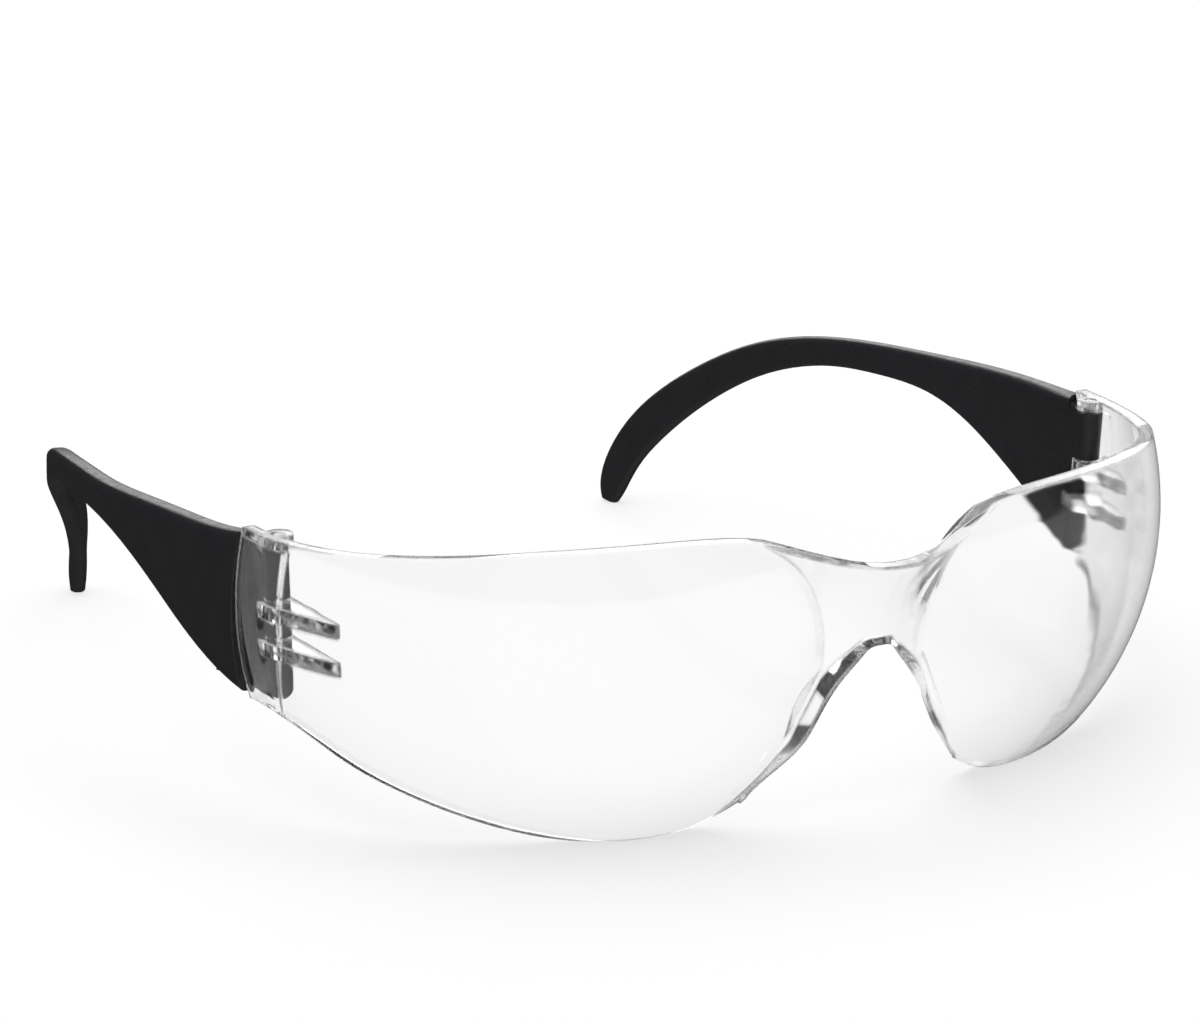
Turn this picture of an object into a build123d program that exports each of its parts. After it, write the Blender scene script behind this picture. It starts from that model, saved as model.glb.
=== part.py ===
"""Rimless wrap-around safety glasses: one clear shield, two black temples and their hinge pins.

Millimetres, +Z up. The wearer looks along -Y and has their left hand at +X. Everything is built from the hinge
line, the line y = 0 through the shield's rear ends, and is moved to the row's origin at the end: the point on
the table under the middle of the glasses. The glasses stand on the shield's two low points and both ear tips.
Only the +X side is modelled, and the other side is its mirror image.
"""

import os
from math import sqrt

from build123d import *

# Each ocular is a patch of a toric surface.
OCULAR_X = 23.4  # centre of curvature, out from the mid plane
OCULAR_Z = 30.7  # height where the surface stands furthest forward
RADIUS_ACROSS = 51.85
RADIUS_UPRIGHT = 48.75
OCULAR_ENDS = (-38, 22)  # the surface's lowest and highest points, from OCULAR_Z
# The inside has a smaller radius, about a centre moved in and back, so that the wall thins towards the hinge.
WALL_FRONT, WALL_ASIDE = 2.2, 1.6
INNER_SHIFT = (-0.3, WALL_FRONT - WALL_ASIDE)

# Outline of half the shield seen from the front, as (x, z).
BROW = [(0, 40.0), (10, 41.5), (20, 44.4), (31, 45.5), (53, 44.6), (60, 44.0), (78, 43.6)]
CHIN = [(0, 9.5), (11, 8.6), (20, 3.5), (25, 1.1), (33, 0.01), (43.4, 0.8), (53.6, 3.6), (60.2, 6.2), (78, 10)]
# The outline seen from the side, as (y, z), takes over where the shield wraps round to the hinge.
SIDE_BROW = [(-62, 49.5), (-34.7, 44.0), (-18.5, 41.9), (0, 41.2)]
SIDE_CHIN = [(-62, -16), (-46, -6), (-26.3, 6.3), (-19.6, 9.7), (-12.5, 13.5), (-7.5, 15.2), (0, 15.6)]

# The bridge bulges forward between the oculars: (height, front of its mid line, radius, half width).
BRIDGE_WALL = 2.6
BRIDGE = [
    (4, -46.4, 90, 19),
    (10, -48.2, 75, 18),
    (17, -49.8, 55, 15),
    (24, -50.4, 36, 13),
    (30, -51.8, 22, 12.5),
    (36.5, -54.7, 16.6, 13),
    (40, -56.7, 18.4, 15),
    (43.5, -58.4, 25, 19.5),
    (47, -59.8, 31, 24),
]
BRIDGE_BACK = -30

# Edge of the nose opening, as (x, z, way it widens). It widens rearwards, to lie along a nose.
NOSE = [
    (0, 27.1, (0, 1)),
    (3.7, 25.9, (0.6, 0.8)),
    (5.5, 22.7, (1, 0.25)),
    (7.4, 17.6, (1, 0)),
    (9.1, 14.4, (1, 0)),
    (11.9, 9.5, (1, 0)),
    (21.0, -5.0, (1, 0)),
]
NOSE_Y = -50.0
NOSE_FLARE = 0.58  # sideways for each millimetre rearwards
NOSE_DEPTHS = (-56, -36)
NOSE_INNER = -5  # the opening's body runs this far past the mid plane
NOSE_WALL = 1.8
FLANGE_FRONT = -70  # further forward than the shield
# Rear edge of the nose flange seen from the side, as (y, z).
FLANGE_REAR = [(-50.0, 31), (-48.2, 26.2), (-46.2, 21.6), (-45.6, 15.5), (-46.6, 9.2), (-50, 3)]

# The hinge pin leans outwards a little at its top, because the shield narrows downwards.
PIN_X, PIN_Y, PIN_Z = 70.7, -5.2, 30.7
PIN_LEAN = 2.6  # degrees
# Heights along the pin, from the point above.
PIN_BOTTOM, PIN_TOP = -11.5, 10.4
BORE_BOTTOM = -11.8
BARREL_BOTTOM, BARREL_TOP = -13.5, 8.7
TAB_BOTTOM, TAB_TOP = 9.0, 10.5
LUG_HEIGHTS = (0.0, -5.5)
PIN_RADIUS = 0.85
RUNNING_PLAY = 0.05
BARREL_RADIUS = 2.0
BARREL_ROUND = 1.5
# The barrel's root seen along the pin, as (x, y) from the pin. It runs into the temple.
ROOT = [(-2.0, 0), (1.9, 0), (1.9, 6), (3.7, 13.5), (1.5, 8)]
ROOT_BOTTOM = -13
LUG_RADIUS = 2.1
LUG_THICK = 2.0
LUG_LENGTH = 14.2
LUG_FRONT = -2.0  # inner corner of a lug's front end, out from the pin
LUG_OUTER = 9  # further out than the shield's wall
LUG_PLAY = 0.3
POCKET_PLAY = 0.3
END_WALL = 0.95  # the shield's end is thinned to this behind a step
# The thinned end seen from the side, as (y, z) from the pin's point above.
END = [(-4.3, 9.0), (-4.3, -3.7), (-0.3, -23.5), (9.0, -23.5), (9.0, 9.0)]
POCKET_BOTTOM = -23.5
POCKET_REAR = 9

# The temple's middle line with its height and thickness, from hinge to tip.
TEMPLE = [
    (73.95, 0.3, 28.6, 23.8, 3.5),
    (74.9, 8.4, 29.9, 19.7, 3.5),
    (75.05, 18.2, 31.7, 14.8, 3.5),
    (74.8, 28.2, 33.2, 10.1, 3.4),
    (74.0, 40.1, 34.0, 6.2, 3.3),
    (72.1, 52.1, 33.65, 5.0, 3.2),
    (70.1, 61.2, 32.8, 4.7, 3.1),
    (67.6, 69.4, 31.1, 5.0, 3.1),
    (64.3, 77.8, 27.8, 5.6, 3.0),
    (59.6, 85.0, 22.7, 6.2, 3.0),
    (54.8, 91.0, 16.2, 6.6, 2.9),
    (51.8, 95.5, 9.2, 5.9, 2.8),
    (50.9, 97.6, 4.4, 5.2, 2.7),
    (50.5, 98.5, 0.4, 3.0, 2.4),
]
CORNER = 1.1

ORIGIN = (0, 21.9, 0)  # the row's origin, in the frame of the hinge line
REACH = 240  # wider than the glasses, for cutting bodies
PAST = 1  # bores run this far past the face they open through
HINGE = Location((PIN_X, PIN_Y, PIN_Z), (0, PIN_LEAN, 0))


def between(low, high):
    """Straight prism through the glasses between a lower and an upper curve of the same plane."""
    floor, roof = Spline(low), Spline(high)
    sides = [Line(floor @ 1, roof @ 1), Line(roof @ 0, floor @ 0)]
    return extrude(make_face([floor, roof, *sides]), REACH / 2, both=True)


def outline_body():
    """Everything inside the shield's outline, seen from the front and from the side."""
    front = between([(x, 0, z) for x, z in CHIN], [(x, 0, z) for x, z in BROW])
    side = between([(0, y, z) for y, z in SIDE_CHIN], [(0, y, z) for y, z in SIDE_BROW])
    return front & side


def toric_body(inset, shift=(0, 0)):
    """Solid of revolution whose skin is the ocular's surface, moved inwards by inset and aside by shift."""
    across = RADIUS_ACROSS - inset
    upright = RADIUS_UPRIGHT - inset
    low, high = (OCULAR_Z + end for end in OCULAR_ENDS)

    def skin(z):
        return across - upright + sqrt(upright**2 - (z - OCULAR_Z) ** 2)

    arc = ThreePointArc((skin(low), 0, low), (across, 0, OCULAR_Z), (skin(high), 0, high))
    core = Polyline((skin(high), 0, high), (0, 0, high), (0, 0, low), (skin(low), 0, low))
    return Pos(OCULAR_X + shift[0], shift[1], 0) * revolve(make_face([arc, core]), Axis.Z)


def bridge_body(inset):
    """Keel between the oculars, moved inwards by inset."""
    sections = []
    for z, front, radius, half in BRIDGE:
        side = front + radius - sqrt((radius - inset) ** 2 - half**2)
        arc = ThreePointArc((-half, side, z), (0, front + inset, z), (half, side, z))
        back = Polyline((half, side, z), (half, BRIDGE_BACK, z), (-half, BRIDGE_BACK, z), (-half, side, z))
        sections.append(make_face([arc, back]))
    return loft(sections)


def nose_body(grow):
    """The flaring nose opening, made larger all round by grow."""
    sections = []
    for y in NOSE_DEPTHS:
        spread = NOSE_FLARE * (y - NOSE_Y) + grow
        edge = [(x + dx * spread, y, z + dz * spread) for x, z, (dx, dz) in NOSE]
        side = Spline(edge)
        rest = Polyline(edge[-1], (NOSE_INNER, y, edge[-1][2]), (NOSE_INNER, y, edge[0][2]), edge[0])
        sections.append(make_face([side, rest]))
    return loft(sections, ruled=True)


def nose_flange(envelope):
    """The moulded nosepiece, a wall along the nose opening that reaches back behind the shield."""
    rear = Spline([(0, y, z) for y, z in FLANGE_REAR])
    low, high = FLANGE_REAR[-1][1], FLANGE_REAR[0][1]
    front = Polyline(rear @ 1, (0, FLANGE_FRONT, low), (0, FLANGE_FRONT, high), rear @ 0)
    depth = extrude(make_face([rear, front]), REACH / 2, both=True)
    plus_x = Box(REACH, REACH, REACH, align=(Align.MIN, Align.CENTER, Align.CENTER))
    return (nose_body(NOSE_WALL) - nose_body(0)) & envelope & depth & plus_x


def hinge_bar(radius, low, high):
    """Round bar on the hinge axis, in the hinge's own frame."""
    return extrude(Pos(0, 0, low) * Circle(radius), high - low)


def hinge_plate(points, low, high):
    """Flat plate square to the hinge axis, in the hinge's own frame."""
    return extrude(Pos(0, 0, low) * make_face(Polyline(*points, points[0])), high - low)


def thinned_end():
    """What the step takes off the inside of the shield's end."""
    side = make_face(Polyline(*[(0, y, z) for y, z in END], (0, *END[0])))
    return (HINGE * extrude(side, REACH / 2, both=True)) & toric_body(END_WALL)


def hinge_pocket():
    """Room for the temple's barrel and root, cut from the inside of the shield's end."""
    room = BARREL_RADIUS + POCKET_PLAY
    corners = [(-room, 0), (room, 0), (room, POCKET_REAR), (-room, POCKET_REAR)]
    bar = hinge_bar(room, POCKET_BOTTOM, TAB_BOTTOM)
    return HINGE * (bar + hinge_plate(corners, POCKET_BOTTOM, TAB_BOTTOM))


def hinge_ears(envelope):
    """The top tab and the two lugs, which hold the pin and run into the shield's wall."""
    r = LUG_RADIUS
    tab = [(0, -r), (LUG_OUTER, -r), (LUG_OUTER, r), (0, r)]
    arm = [(-r, 0), (LUG_FRONT, -LUG_LENGTH), (LUG_OUTER, -LUG_LENGTH), (LUG_OUTER, 0)]
    ears = hinge_bar(r, TAB_BOTTOM, TAB_TOP) + hinge_plate(tab, TAB_BOTTOM, TAB_TOP)
    for middle in LUG_HEIGHTS:
        low, high = middle - LUG_THICK / 2, middle + LUG_THICK / 2
        ears += hinge_bar(r, low, high) + hinge_plate(arm, low, high)
    return (HINGE * ears) & envelope


def shield():
    """The whole clear moulding."""
    envelope = toric_body(0) + bridge_body(0)
    hollow = toric_body(WALL_ASIDE, INNER_SHIFT) + bridge_body(BRIDGE_WALL)
    half = (envelope - hollow) & outline_body()
    half = half - nose_body(0) + nose_flange(envelope)
    half = half - thinned_end() - hinge_pocket() + hinge_ears(envelope)
    half -= HINGE * hinge_bar(PIN_RADIUS, PIN_BOTTOM, TAB_TOP + PAST)
    return half + mirror(half, about=Plane.YZ)


def hinge_pin():
    """Plain steel pin, pressed into the tab and lugs."""
    return HINGE * hinge_bar(PIN_RADIUS, PIN_BOTTOM, PIN_TOP)


def temple_section(row, ahead, behind):
    """Bowed, round-cornered section of the temple, square to its middle line."""
    x, y, z, height, thick = row
    along = Vector(*behind[:3]) - Vector(*ahead[:3])
    outward = Vector(along.Y, -along.X, 0)
    bow = height**2 / (8 * RADIUS_UPRIGHT)
    half = height / 2
    outer = ThreePointArc((thick / 2 - bow, -half), (thick / 2, 0), (thick / 2 - bow, half))
    inner = ThreePointArc((-thick / 2 - bow, half), (-thick / 2, 0), (-thick / 2 - bow, -half))
    face = make_face([outer, Line(outer @ 1, inner @ 0), inner, Line(inner @ 1, outer @ 0)])
    return Plane((x, y, z), x_dir=outward, z_dir=along) * fillet(face.vertices(), CORNER)


def temple():
    """The black side arm with its slotted hinge barrel."""
    x, y, z = TEMPLE[1][:3]
    ahead = [(x, -y, z), *TEMPLE[:-1]]  # so that the arm leaves the shield straight to the rear
    behind = [*TEMPLE[1:], TEMPLE[-1]]
    arm = loft([temple_section(*rows) for rows in zip(TEMPLE, ahead, behind)])
    barrel = hinge_bar(BARREL_RADIUS, BARREL_BOTTOM, BARREL_TOP)
    barrel = fillet(barrel.edges().sort_by(Axis.Z)[0], BARREL_ROUND)
    knuckles = barrel + hinge_plate(ROOT, ROOT_BOTTOM, BARREL_TOP)
    for middle in LUG_HEIGHTS:
        play = LUG_THICK / 2 + LUG_PLAY
        knuckles -= hinge_bar(LUG_RADIUS + LUG_PLAY, middle - play, middle + play)
    knuckles -= hinge_bar(PIN_RADIUS + RUNNING_PLAY, BORE_BOTTOM, BARREL_TOP + PAST)
    return arm + HINGE * knuckles


def main():
    """Write one STEP for each piece."""
    os.makedirs("parts", exist_ok=True)
    origin = Pos(*ORIGIN).inverse()
    pieces = {"lens_shield": shield()}
    for name, solid in (("temple", temple()), ("hinge_pin", hinge_pin())):
        pieces[name + "_left"] = solid
        pieces[name + "_right"] = mirror(solid, about=Plane.YZ)
    for name, solid in pieces.items():
        export_step(origin * solid, f"parts/{name}.step")


main()
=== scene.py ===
"""Studio scene of wrap-around safety glasses: clear shield, black temples, steel hinge pins."""

import math

import bpy
from mathutils import Matrix, Vector

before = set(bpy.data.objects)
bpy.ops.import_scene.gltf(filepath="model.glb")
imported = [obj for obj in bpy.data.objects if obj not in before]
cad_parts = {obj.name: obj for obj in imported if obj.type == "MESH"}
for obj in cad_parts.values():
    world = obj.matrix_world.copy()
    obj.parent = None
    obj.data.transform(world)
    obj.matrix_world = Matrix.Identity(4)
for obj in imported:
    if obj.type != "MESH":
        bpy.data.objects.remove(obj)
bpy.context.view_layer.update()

# Camera, from the photograph's viewing angle: azimuth, elevation and roll in degrees, distances in metres.
AZIMUTH, ELEVATION, ROLL = -32.661, 17.177, 1.173
DISTANCE = 0.799911
TARGET = Vector((0.008936, 0.014955, 0.021295))
LENS_MM = 154.70
SENSOR_MM = 36.0

# Studio: directions as vectors, levels as strengths of the world's light.
FRONT = (0.05, -0.95, -0.3)
FRONT_GAIN = 5.0
REFRACTED_LEVEL = 0.75
GAP_NORMAL, GAP_OFFSET = (0.725, -0.3293, 0.6047), 0.323
GAP_EDGE = (0.055, 0.085)  # where the dark gap ends and the light is full again
BOUNCES = 64  # light runs a long way inside the wall before it leaves by an edge

NOISE_SPAN = (0.3, 0.7)  # the part of its range that noise mostly keeps to
EDGE_COSINES = (1.0, 0.93)  # between the rounded normal and the surface's own, from unworn to worn
FLOOR_HALF = 6.0


def new_material(name):
    """Material with an empty Principled shader, and its node helpers."""
    material = bpy.data.materials.new(name)
    material.use_nodes = True
    nodes = material.node_tree.nodes
    shader = next(n for n in nodes if n.type == "BSDF_PRINCIPLED")
    return material, nodes, material.node_tree.links, shader


def set_sockets(shader, values):
    """Sets uniform values on the shader's own sockets."""
    for socket, value in values.items():
        shader.inputs[socket].default_value = value


def feed(links, socket, value):
    """Links a socket to another node's output, or sets its uniform value."""
    if isinstance(value, bpy.types.NodeSocket):
        links.new(value, socket)
    else:
        socket.default_value = value


def noise(nodes, links, scale, detail=3, stretch=(1, 1, 1)):
    """Noise in the object's own metres, as a factor from 0 to 1."""
    place = nodes.new("ShaderNodeTexCoord")
    mapping = nodes.new("ShaderNodeMapping")
    mapping.inputs["Scale"].default_value = stretch
    texture = nodes.new("ShaderNodeTexNoise")
    texture.inputs["Scale"].default_value = scale
    texture.inputs["Detail"].default_value = detail
    links.new(place.outputs["Object"], mapping.inputs["Vector"])
    links.new(mapping.outputs["Vector"], texture.inputs["Vector"])
    return texture.outputs["Fac"]


def remap(nodes, links, value, source, target=(0.0, 1.0)):
    """Number moved from one range to another, and kept inside it."""
    node = nodes.new("ShaderNodeMapRange")
    node.inputs["From Min"].default_value, node.inputs["From Max"].default_value = source
    node.inputs["To Min"].default_value, node.inputs["To Max"].default_value = target
    links.new(value, node.inputs["Value"])
    return node.outputs["Result"]


def dot(nodes, links, first, second):
    """Dot product of a vector and another vector or a fixed direction."""
    node = nodes.new("ShaderNodeVectorMath")
    node.operation = "DOT_PRODUCT"
    links.new(first, node.inputs[0])
    feed(links, node.inputs[1], second)
    return node.outputs["Value"]


def calculate(nodes, links, operation, *values):
    """Result of a math node."""
    node = nodes.new("ShaderNodeMath")
    node.operation = operation
    for socket, value in zip(node.inputs, values):
        feed(links, socket, value)
    return node.outputs["Value"]


def blend_colours(nodes, links, factor, low, high):
    """Colour from low to high, driven by a factor."""
    mix = nodes.new("ShaderNodeMix")
    mix.data_type = "RGBA"
    colours = [socket for socket in mix.inputs if socket.type == "RGBA"]
    for socket, colour in zip(colours, (low, high)):
        feed(links, socket, colour)
    links.new(factor, mix.inputs["Factor"])
    return next(socket for socket in mix.outputs if socket.type == "RGBA")


def bump(nodes, links, height, strength, distance, normal=None):
    """Normal raised by a height, over another normal if one is given."""
    node = nodes.new("ShaderNodeBump")
    node.inputs["Strength"].default_value = strength
    node.inputs["Distance"].default_value = distance
    links.new(height, node.inputs["Height"])
    if normal:
        links.new(normal, node.inputs["Normal"])
    return node.outputs["Normal"]


def rounded(nodes, radius):
    """Normal that rounds sharp edges off."""
    node = nodes.new("ShaderNodeBevel")
    node.samples = 4
    node.inputs["Radius"].default_value = radius
    return node.outputs["Normal"]


def edge_mask(nodes, links, normal):
    """Factor that is 1 on worn edges, where the rounded normal leaves the surface's own."""
    surface = nodes.new("ShaderNodeNewGeometry")
    return remap(nodes, links, dot(nodes, links, normal, surface.outputs["Normal"]), EDGE_COSINES)


def clear_plastic():
    """Clear polycarbonate: a trace of tint, faint moulding waves and a breath of handling haze."""
    material, nodes, links, shader = new_material("clear_polycarbonate")
    set_sockets(shader, {"IOR": 1.586, "Transmission Weight": 1.0})
    greener, clearer = (0.982, 0.990, 0.985, 1), (0.992, 0.997, 0.994, 1)
    tint = blend_colours(nodes, links, noise(nodes, links, 35), greener, clearer)
    haze = remap(nodes, links, noise(nodes, links, 120, 5), NOISE_SPAN, (0.0, 0.003))
    waves = bump(nodes, links, noise(nodes, links, 90, 1), 0.05, 0.00004, rounded(nodes, 0.0009))
    links.new(tint, shader.inputs["Base Color"])
    links.new(haze, shader.inputs["Roughness"])
    links.new(waves, shader.inputs["Normal"])
    return material


def black_plastic():
    """Satin moulded black plastic: fine grain, uneven gloss and edges worn a little paler."""
    material, nodes, links, shader = new_material("black_temple")
    set_sockets(shader, {"IOR": 1.5, "Specular IOR Level": 0.28})
    dark, light, wear = (0.019, 0.0195, 0.0215, 1), (0.027, 0.0275, 0.030, 1), (0.055, 0.056, 0.060, 1)
    mottle = blend_colours(nodes, links, noise(nodes, links, 260), dark, light)
    worn = blend_colours(nodes, links, edge_mask(nodes, links, rounded(nodes, 0.0003)), mottle, wear)
    gloss = remap(nodes, links, noise(nodes, links, 700, 4), NOISE_SPAN, (0.27, 0.38))
    links.new(worn, shader.inputs["Base Color"])
    links.new(gloss, shader.inputs["Roughness"])
    links.new(bump(nodes, links, noise(nodes, links, 2600), 0.12, 0.00006), shader.inputs["Normal"])
    return material


def steel():
    """Drawn steel wire, with fine lines along it."""
    material, nodes, links, shader = new_material("pin_steel")
    set_sockets(shader, {"Metallic": 1.0})
    lines = noise(nodes, links, 9000, 2, (1, 1, 0.04))
    colour = blend_colours(nodes, links, lines, (0.42, 0.42, 0.43, 1), (0.60, 0.60, 0.61, 1))
    links.new(colour, shader.inputs["Base Color"])
    links.new(remap(nodes, links, lines, NOISE_SPAN, (0.22, 0.40)), shader.inputs["Roughness"])
    links.new(bump(nodes, links, lines, 0.2, 0.00001), shader.inputs["Normal"])
    return material


def dress(node, material):
    """Gives a CAD node its material."""
    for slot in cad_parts[node].material_slots:
        slot.material = material


def make_floor():
    """Plain pale floor, hidden from glossy rays so that the plastic mirrors the studio and not the paper."""
    mesh = bpy.data.meshes.new("floor")
    corners = [(x * FLOOR_HALF, y * FLOOR_HALF, 0) for x, y in ((-1, -1), (1, -1), (1, 1), (-1, 1))]
    mesh.from_pydata(corners, [], [(0, 1, 2, 3)])
    floor = bpy.data.objects.new("floor", mesh)
    bpy.context.scene.collection.objects.link(floor)
    material, _, _, shader = new_material("floor_paper")
    set_sockets(shader, {
        "Base Color": (0.3, 0.3, 0.3, 1),
        "Roughness": 1.0,
        "Specular IOR Level": 0.0,
        "Emission Color": (1, 1, 1, 1),
        "Emission Strength": 0.71,
    })
    mesh.materials.append(material)
    floor.visible_glossy = False


def make_world():
    """Studio round the glasses: bright in front, dim sides, and a dark gap between two soft boxes.

    Refracted rays see an even studio instead, which keeps the shield's thick edges from going black.
    """
    world = bpy.data.worlds.new("studio")
    bpy.context.scene.world = world
    world.use_nodes = True
    nodes, links = world.node_tree.nodes, world.node_tree.links
    background = next(n for n in nodes if n.type == "BACKGROUND")
    way = nodes.new("ShaderNodeTexCoord").outputs["Generated"]
    side = nodes.new("ShaderNodeValToRGB")
    side.color_ramp.elements[0].color = (0.5, 0.5, 0.5, 1)
    for position, level in ((0.3, 0.42), (0.48, 0.2), (0.72, 0.2), (0.82, 1.0)):
        element = side.color_ramp.elements.new(position)
        element.color = (level, level, level, 1)
    links.new(remap(nodes, links, dot(nodes, links, way, FRONT), (-1.0, 1.0)), side.inputs["Fac"])
    offset = calculate(nodes, links, "SUBTRACT", dot(nodes, links, way, GAP_NORMAL), GAP_OFFSET)
    gap = remap(nodes, links, calculate(nodes, links, "ABSOLUTE", offset), GAP_EDGE, (0.08, 1.0))
    level = calculate(nodes, links, "MULTIPLY", side.outputs["Color"], gap)
    brighter = remap(nodes, links, level, (0.5, 1.0), (1.0, FRONT_GAIN))
    mirrored = calculate(nodes, links, "MULTIPLY", level, brighter)
    seen = nodes.new("ShaderNodeMix")
    seen.inputs["B"].default_value = REFRACTED_LEVEL
    links.new(nodes.new("ShaderNodeLightPath").outputs["Is Transmission Ray"], seen.inputs["Factor"])
    links.new(mirrored, seen.inputs["A"])
    links.new(seen.outputs["Result"], background.inputs["Strength"])


def area_light(name, place, aim, size, watts):
    """Soft rectangular light at a place, turned to a point."""
    data = bpy.data.lights.new(name, "AREA")
    data.shape = "RECTANGLE"
    data.size, data.size_y = size
    data.energy = watts
    light = bpy.data.objects.new(name, data)
    bpy.context.scene.collection.objects.link(light)
    light.location = place
    light.rotation_mode = "QUATERNION"
    light.rotation_quaternion = (Vector(aim) - Vector(place)).to_track_quat("-Z", "Y")
    return light


def make_camera():
    """The photograph's camera."""
    a, e, r = (math.radians(v) for v in (AZIMUTH, ELEVATION, ROLL))
    back = Vector((math.sin(a) * math.cos(e), -math.cos(a) * math.cos(e), math.sin(e)))
    right = (-back).cross(Vector((0, 0, 1))).normalized()
    up = right.cross(-back)
    rolled_right = right * math.cos(r) + up * math.sin(r)
    rolled_up = up * math.cos(r) - right * math.sin(r)
    data = bpy.data.cameras.new("camera")
    data.sensor_width = SENSOR_MM
    data.lens = LENS_MM
    data.clip_start, data.clip_end = 0.01, 50
    camera = bpy.data.objects.new("camera", data)
    bpy.context.scene.collection.objects.link(camera)
    turn = Matrix((rolled_right, rolled_up, back)).transposed()
    camera.matrix_world = Matrix.Translation(TARGET + back * DISTANCE) @ turn.to_4x4()
    bpy.context.scene.camera = camera


plastic, black, metal = clear_plastic(), black_plastic(), steel()
for node, material in (
    ("lens_shield", plastic),
    ("temple_left", black),
    ("temple_right", black),
    ("hinge_pin_left", metal),
    ("hinge_pin_right", metal),
):
    dress(node, material)

make_floor()
make_world()
overhead = area_light("overhead", (0, 0.1, 1.5), (0, 0, 0), (2.4, 2.4), 38)
overhead.visible_glossy = False
overhead.visible_transmission = False
area_light("rear", (0.7, 1.08, 0.42), (0, 0, 0.03), (1.3, 0.5), 5)
make_camera()
bpy.context.scene.view_settings.view_transform = "Standard"
cycles = bpy.context.scene.cycles
cycles.max_bounces = cycles.glossy_bounces = cycles.transmission_bounces = BOUNCES
